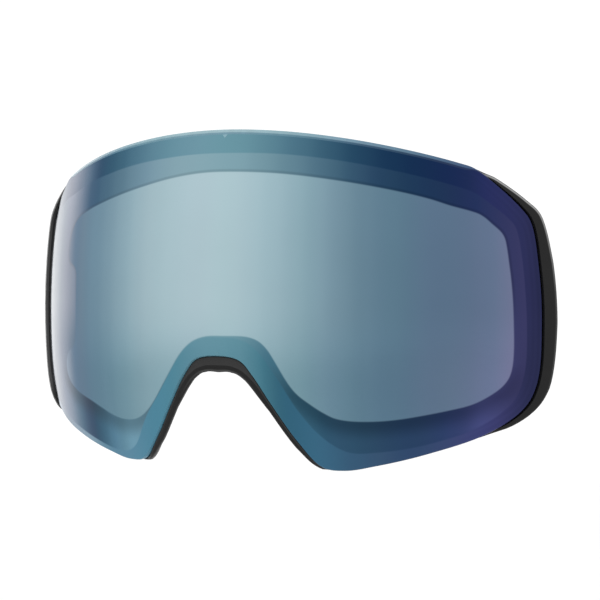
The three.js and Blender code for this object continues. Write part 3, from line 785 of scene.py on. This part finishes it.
def carrier_section(s):
    top = rim_depth(s)
    flat = min(RIM_GAP, s.rim - 0.1)
    chamfer = 0.5 * smooth(s.rim, 0.3, 2.0)
    foot = mix(s.rim, 0.3, smooth(s.rim, 0.3, 2.0))
    return [
        (-flat, top), (-flat + 0.02, PLATE_FRONT), (s.share(0.5, 0.78), PLATE_FRONT),
        (s.share(0.5, 0.78), RIB_BACK), (s.share(0.12, flare(RIB_BACK)), RIB_BACK),
        (s.share(0.12, flare(PLATE_BACK)), PLATE_BACK), (-foot, PLATE_BACK), (-s.rim, top + 1.6),
        (-s.rim, top + 0.35 + chamfer * 0.3), (-s.rim + chamfer, top + 0.08),
    ]


def upper_face(s):
    """How far the rim's upper face reaches out past the lens; below it the rim turns under."""
    leg = smooth(abs(s.edge.x), 8, 17) * (1 - smooth(-s.edge.y, 42, 48))
    return mix(s.rim * 0.56, 0.7, leg) if s.nose > 0.8 else 9.0


CARRIER_FILLETS = [0.14, 0, 0.3, 0.35, 0.4, 0.3, 0.4, 0.5, 0.2, 0.2]
carrier = ring_piece("carrier_rim", carrier_section, CARRIER_FILLETS, RIM, 2,
                     tags={
                         "under": lambda s, out, deep: out - upper_face(s),
                         "brim": lambda s, out, deep: s.rim - out,
                         "level": lambda s, out, deep: deep - rim_depth(s),
                         "proud": lambda s, out, deep: s.rim,
                         "height": lambda s, out, deep: s.edge.y,
                         "around": lambda s, out, deep: s.edge.x,
                     })
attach(carrier, LENS_BODY)
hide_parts("lens_carrier")

GASKET_BACK = PLATE_FRONT + 2.9


def gasket_section(s):
    outside = s.share(0.62, 0.88)
    return [(outside, PLATE_FRONT - 0.25), (s.band, PLATE_FRONT - 0.25), (s.band, GASKET_BACK + 0.2),
            (outside, GASKET_BACK + 0.2)]


gasket = ring_piece("spacer_gasket_foam", gasket_section, [0.3] * 4, GASKET, 2)
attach(gasket, LENS_BODY)
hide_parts("spacer_gasket")

INNER_FRONT = GASKET_BACK + 0.4
inner = lens_piece(
    "inner_lens_pane", [inward_by(0.64, 0.3, 0.9), inward_by(0.84, 0.0, 0.96), inward_by(1.0)],
    [(inward_by(0.64, 0.1, 0.9), INNER_FRONT + 0.2), (inward_by(0.64, 0.1, 0.9), INNER_FRONT + 0.8)],
    INNER_FRONT, INNER_FRONT + 1.0, [CLEAR, CLEAR, CLEAR])
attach(inner, LENS_BODY)
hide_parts("inner_lens")

# ---------------------------------------------------------------- foams
LAYER_GAP = 0.9
CHASSIS_FRONT = RIB_BACK + LAYER_GAP - 0.2
CHASSIS_BACK = CHASSIS_FRONT + 2.6
SKIRT_FRONT = CHASSIS_BACK + LAYER_GAP
SKIRT_BACK = SKIRT_FRONT + 7.1
SKIRT_WALL = 1.6


def soft_ripple(amount, seed):
    def ripple(k, around):
        angle = 2 * math.pi * k / COUNT
        spot = Vector((math.cos(angle) * 9, math.sin(angle) * 9, seed + math.sin(2 * math.pi * around)))
        return amount * noise.noise(spot)
    return ripple


def foam_layer(name, node, material, front, back, crown, seed):
    grow = 0.3

    def section(s):
        outer_front, outer_back = s.share(0.5, flare(front)), s.share(0.52, flare(back))
        inner_front, inner_back = s.share(1.42, 1.82), s.share(1.42, 1.84)
        return [(outer_front, front - grow), (inner_front, front - grow), (inner_back + 0.1, back),
                (mix(inner_back, outer_back, 0.5), back + grow + crown), (outer_back - 0.1, back)]

    piece = ring_piece(name, section, [0.6, 0.6, 1.6, 2.6, 1.6], material, 4, ripple=soft_ripple(0.05, seed))
    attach(piece, FRAME_BODY)
    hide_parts(node)


front = SKIRT_BACK + LAYER_GAP
for label, node, slot, material, thick, crown in (
    ("foam_base", "face_foam_base", "face_foam", FOAM_BASE, 5.1, 0.0),
    ("foam_middle", "face_foam_middle", "face_foam", FOAM_MIDDLE, 3.6, 0.0),
    ("foam_fleece", "face_foam_fleece", "fleece", FLEECE, 1.6, 0.5),
):
    foam_layer(label, node, material, front, front + thick, crown, front)
    front += thick + LAYER_GAP


def vent_section(s):
    low, high = s.share(0.68, 1.2), s.share(0.84, 1.36)
    back = SKIRT_BACK - SKIRT_WALL - 0.6
    return [(low, SKIRT_FRONT + 0.3), (high, SKIRT_FRONT + 0.3), (high, back), (low, back)]


LAST_TOP, FIRST_LOW, LAST_LOW = 4 * PER_ROW, 13 * PER_ROW - PER_ROW // 2, 15 * PER_ROW
for label, first, last in (
    ("top", -LAST_TOP, LAST_TOP),
    ("bottom_left", FIRST_LOW, LAST_LOW),
    ("bottom_right", -LAST_LOW, -FIRST_LOW),
):
    piece = ring_piece(f"vent_foam_open_{label}", vent_section, [0.4] * 4, VENT_FOAM, 3, first, last,
                       ripple=soft_ripple(0.06, 3.0))
    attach(piece, FRAME_BODY)
    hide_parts(f"vent_foam_{label}")

# ---------------------------------------------------------------- the CAD pieces that stay
FINISHES = {
    "frame_chassis": (FRAME_PLASTIC, 0.3),
    "face_skirt": (SKIRT_RUBBER, 0.3),
    "breather_plug": (BREATHER, 0.3),
    "lens_magnet": (NICKEL, 0.2),
    "frame_magnet": (NICKEL, 0.2),
    "lens_catch": (RIM, 0.25),
    "side_bracket": (FRAME_PLASTIC, 0.25),
    "release_lever": (LEVER_PLASTIC, 0.25),
    "lever_pin": (STEEL, 0.15),
    "strap_clip_pin": (STEEL, 0.15),
    "lever_spring": (STEEL, 0.0),
    "strap_clip": (CLIP_PLASTIC, 0.45),
}
replaced = {"outer_lens", "lens_carrier", "spacer_gasket", "inner_lens"}
for name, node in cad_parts.items():
    if name in replaced or "foam" in name:
        continue
    key = max((k for k in FINISHES if name.startswith(k)), key=len)
    material, bevel = FINISHES[key]
    node.data.materials.clear()
    node.data.materials.append(material)
    for slot in node.material_slots:
        slot.material = material
    if bevel:
        soften_edges(node, bevel)

# ---------------------------------------------------------------- studio
FLOOR_DROP = 0.45
WHITE = 1.08
BOX_FAR = 0.85
BOX_EDGE = 101.0  # degrees from straight ahead to the softbox's near edge, halfway up
BOX_BOW = 28.0    # and how many degrees nearer it comes for each metre up
BOX_FADE = 13.0
BOX_GLOW = 0.95


def emitter(name, where, towards, wide, tall, power, colour=(1, 1, 1)):
    light = bpy.data.lights.new(name, "AREA")
    light.shape = "RECTANGLE"
    light.size, light.size_y = wide, tall
    light.energy = power
    light.color = colour
    lamp = bpy.data.objects.new(name, light)
    lamp.location = where
    lamp.rotation_mode = "QUATERNION"
    lamp.rotation_quaternion = (Vector(towards) - Vector(where)).to_track_quat("-Z", "Y")
    scene.collection.objects.link(lamp)


def softbox():
    """A tall curved light at the wearer's right. Its near edge is a bow, and it brightens behind it."""
    wide, tall = 72, 40
    points, glow = [], []
    for i in range(wide + 1):
        turn = 78 + 66 * i / wide
        angle = math.radians(turn)
        for j in range(tall + 1):
            height = -0.42 + 1.0 * j / tall
            points.append((-math.sin(angle) * BOX_FAR, -math.cos(angle) * BOX_FAR, 0.06 + height))
            bow = (math.hypot(height, 0.06) - 0.06) * (BOX_BOW if height > 0 else BOX_BOW * 0.65)
            edge = BOX_EDGE - bow
            glow.append(WHITE + BOX_GLOW * min(max((turn - edge) / BOX_FADE, 0.0), 1.0))
    faces = []
    for i in range(wide):
        for j in range(tall):
            k = i * (tall + 1) + j
            faces.append((k, k + 1, k + tall + 2, k + tall + 1))
    sheet = make_object("studio_softbox", points, faces, [])
    add_attribute(sheet, "glow", glow)
    n = Nodes("softbox_glow")
    n.set("Base Color", (0, 0, 0, 1))
    n.set("Specular IOR Level", 0.0)
    n.set("Emission Color", (1, 1, 1, 1))
    n.set("Emission Strength", n.attribute("glow"))
    sheet.data.materials.append(n.material)
    sheet.visible_camera = False


def studio():
    world = bpy.data.worlds.new("studio_white")
    world.use_nodes = True
    world.node_tree.nodes["Background"].inputs["Color"].default_value = (1, 1, 1, 1)
    world.node_tree.nodes["Background"].inputs["Strength"].default_value = WHITE
    scene.world = world
    floor = make_object("studio_floor", [(-4, -4, -FLOOR_DROP), (4, -4, -FLOOR_DROP), (4, 4, -FLOOR_DROP),
                                         (-4, 4, -FLOOR_DROP)], [(0, 1, 2, 3)], [])
    n = Nodes("floor_white", roughness=0.9, specular_ior_level=0.1)
    n.set("Base Color", n.blend(n.remap(n.noise(3, 2.0), 0.3, 0.7), (0.93, 0.93, 0.93, 1),
                                (0.95, 0.95, 0.95, 1)))
    floor.data.materials.append(n.material)
    softbox()
    emitter("key_top", (0.1, -0.5, 0.95), (0, 0, 0.055), 0.9, 0.6, 3)


VIEW_TURN, VIEW_RISE = 30, 1.39  # degrees
VIEW_DISTANCE = 734.73  # mm
VIEW_LENS, VIEW_SENSOR = 137.544, 36
VIEW_RIGHT, VIEW_DOWN = 13.91, 4.52  # how far the aim is moved across and down the picture, in mm


def camera():
    azimuth, elevation = math.radians(VIEW_TURN), math.radians(VIEW_RISE)
    right = Vector((math.cos(azimuth), math.sin(azimuth), 0))
    back = Vector((math.sin(azimuth) * math.cos(elevation), -math.cos(azimuth) * math.cos(elevation),
                   math.sin(elevation)))
    up = back.cross(right)
    target = Vector((0, 25, 9.28)) + right * VIEW_RIGHT - up * VIEW_DOWN
    data = bpy.data.cameras.new("camera")
    data.sensor_width = VIEW_SENSOR
    data.lens = VIEW_LENS
    cam = bpy.data.objects.new("camera", data)
    cam.location = (target + back * VIEW_DISTANCE) * MM + SHIFT
    cam.rotation_mode = "QUATERNION"
    cam.rotation_quaternion = (-back).to_track_quat("-Z", "Y")
    scene.collection.objects.link(cam)
    scene.camera = cam


studio()
camera()
scene.view_settings.view_transform = "Standard"
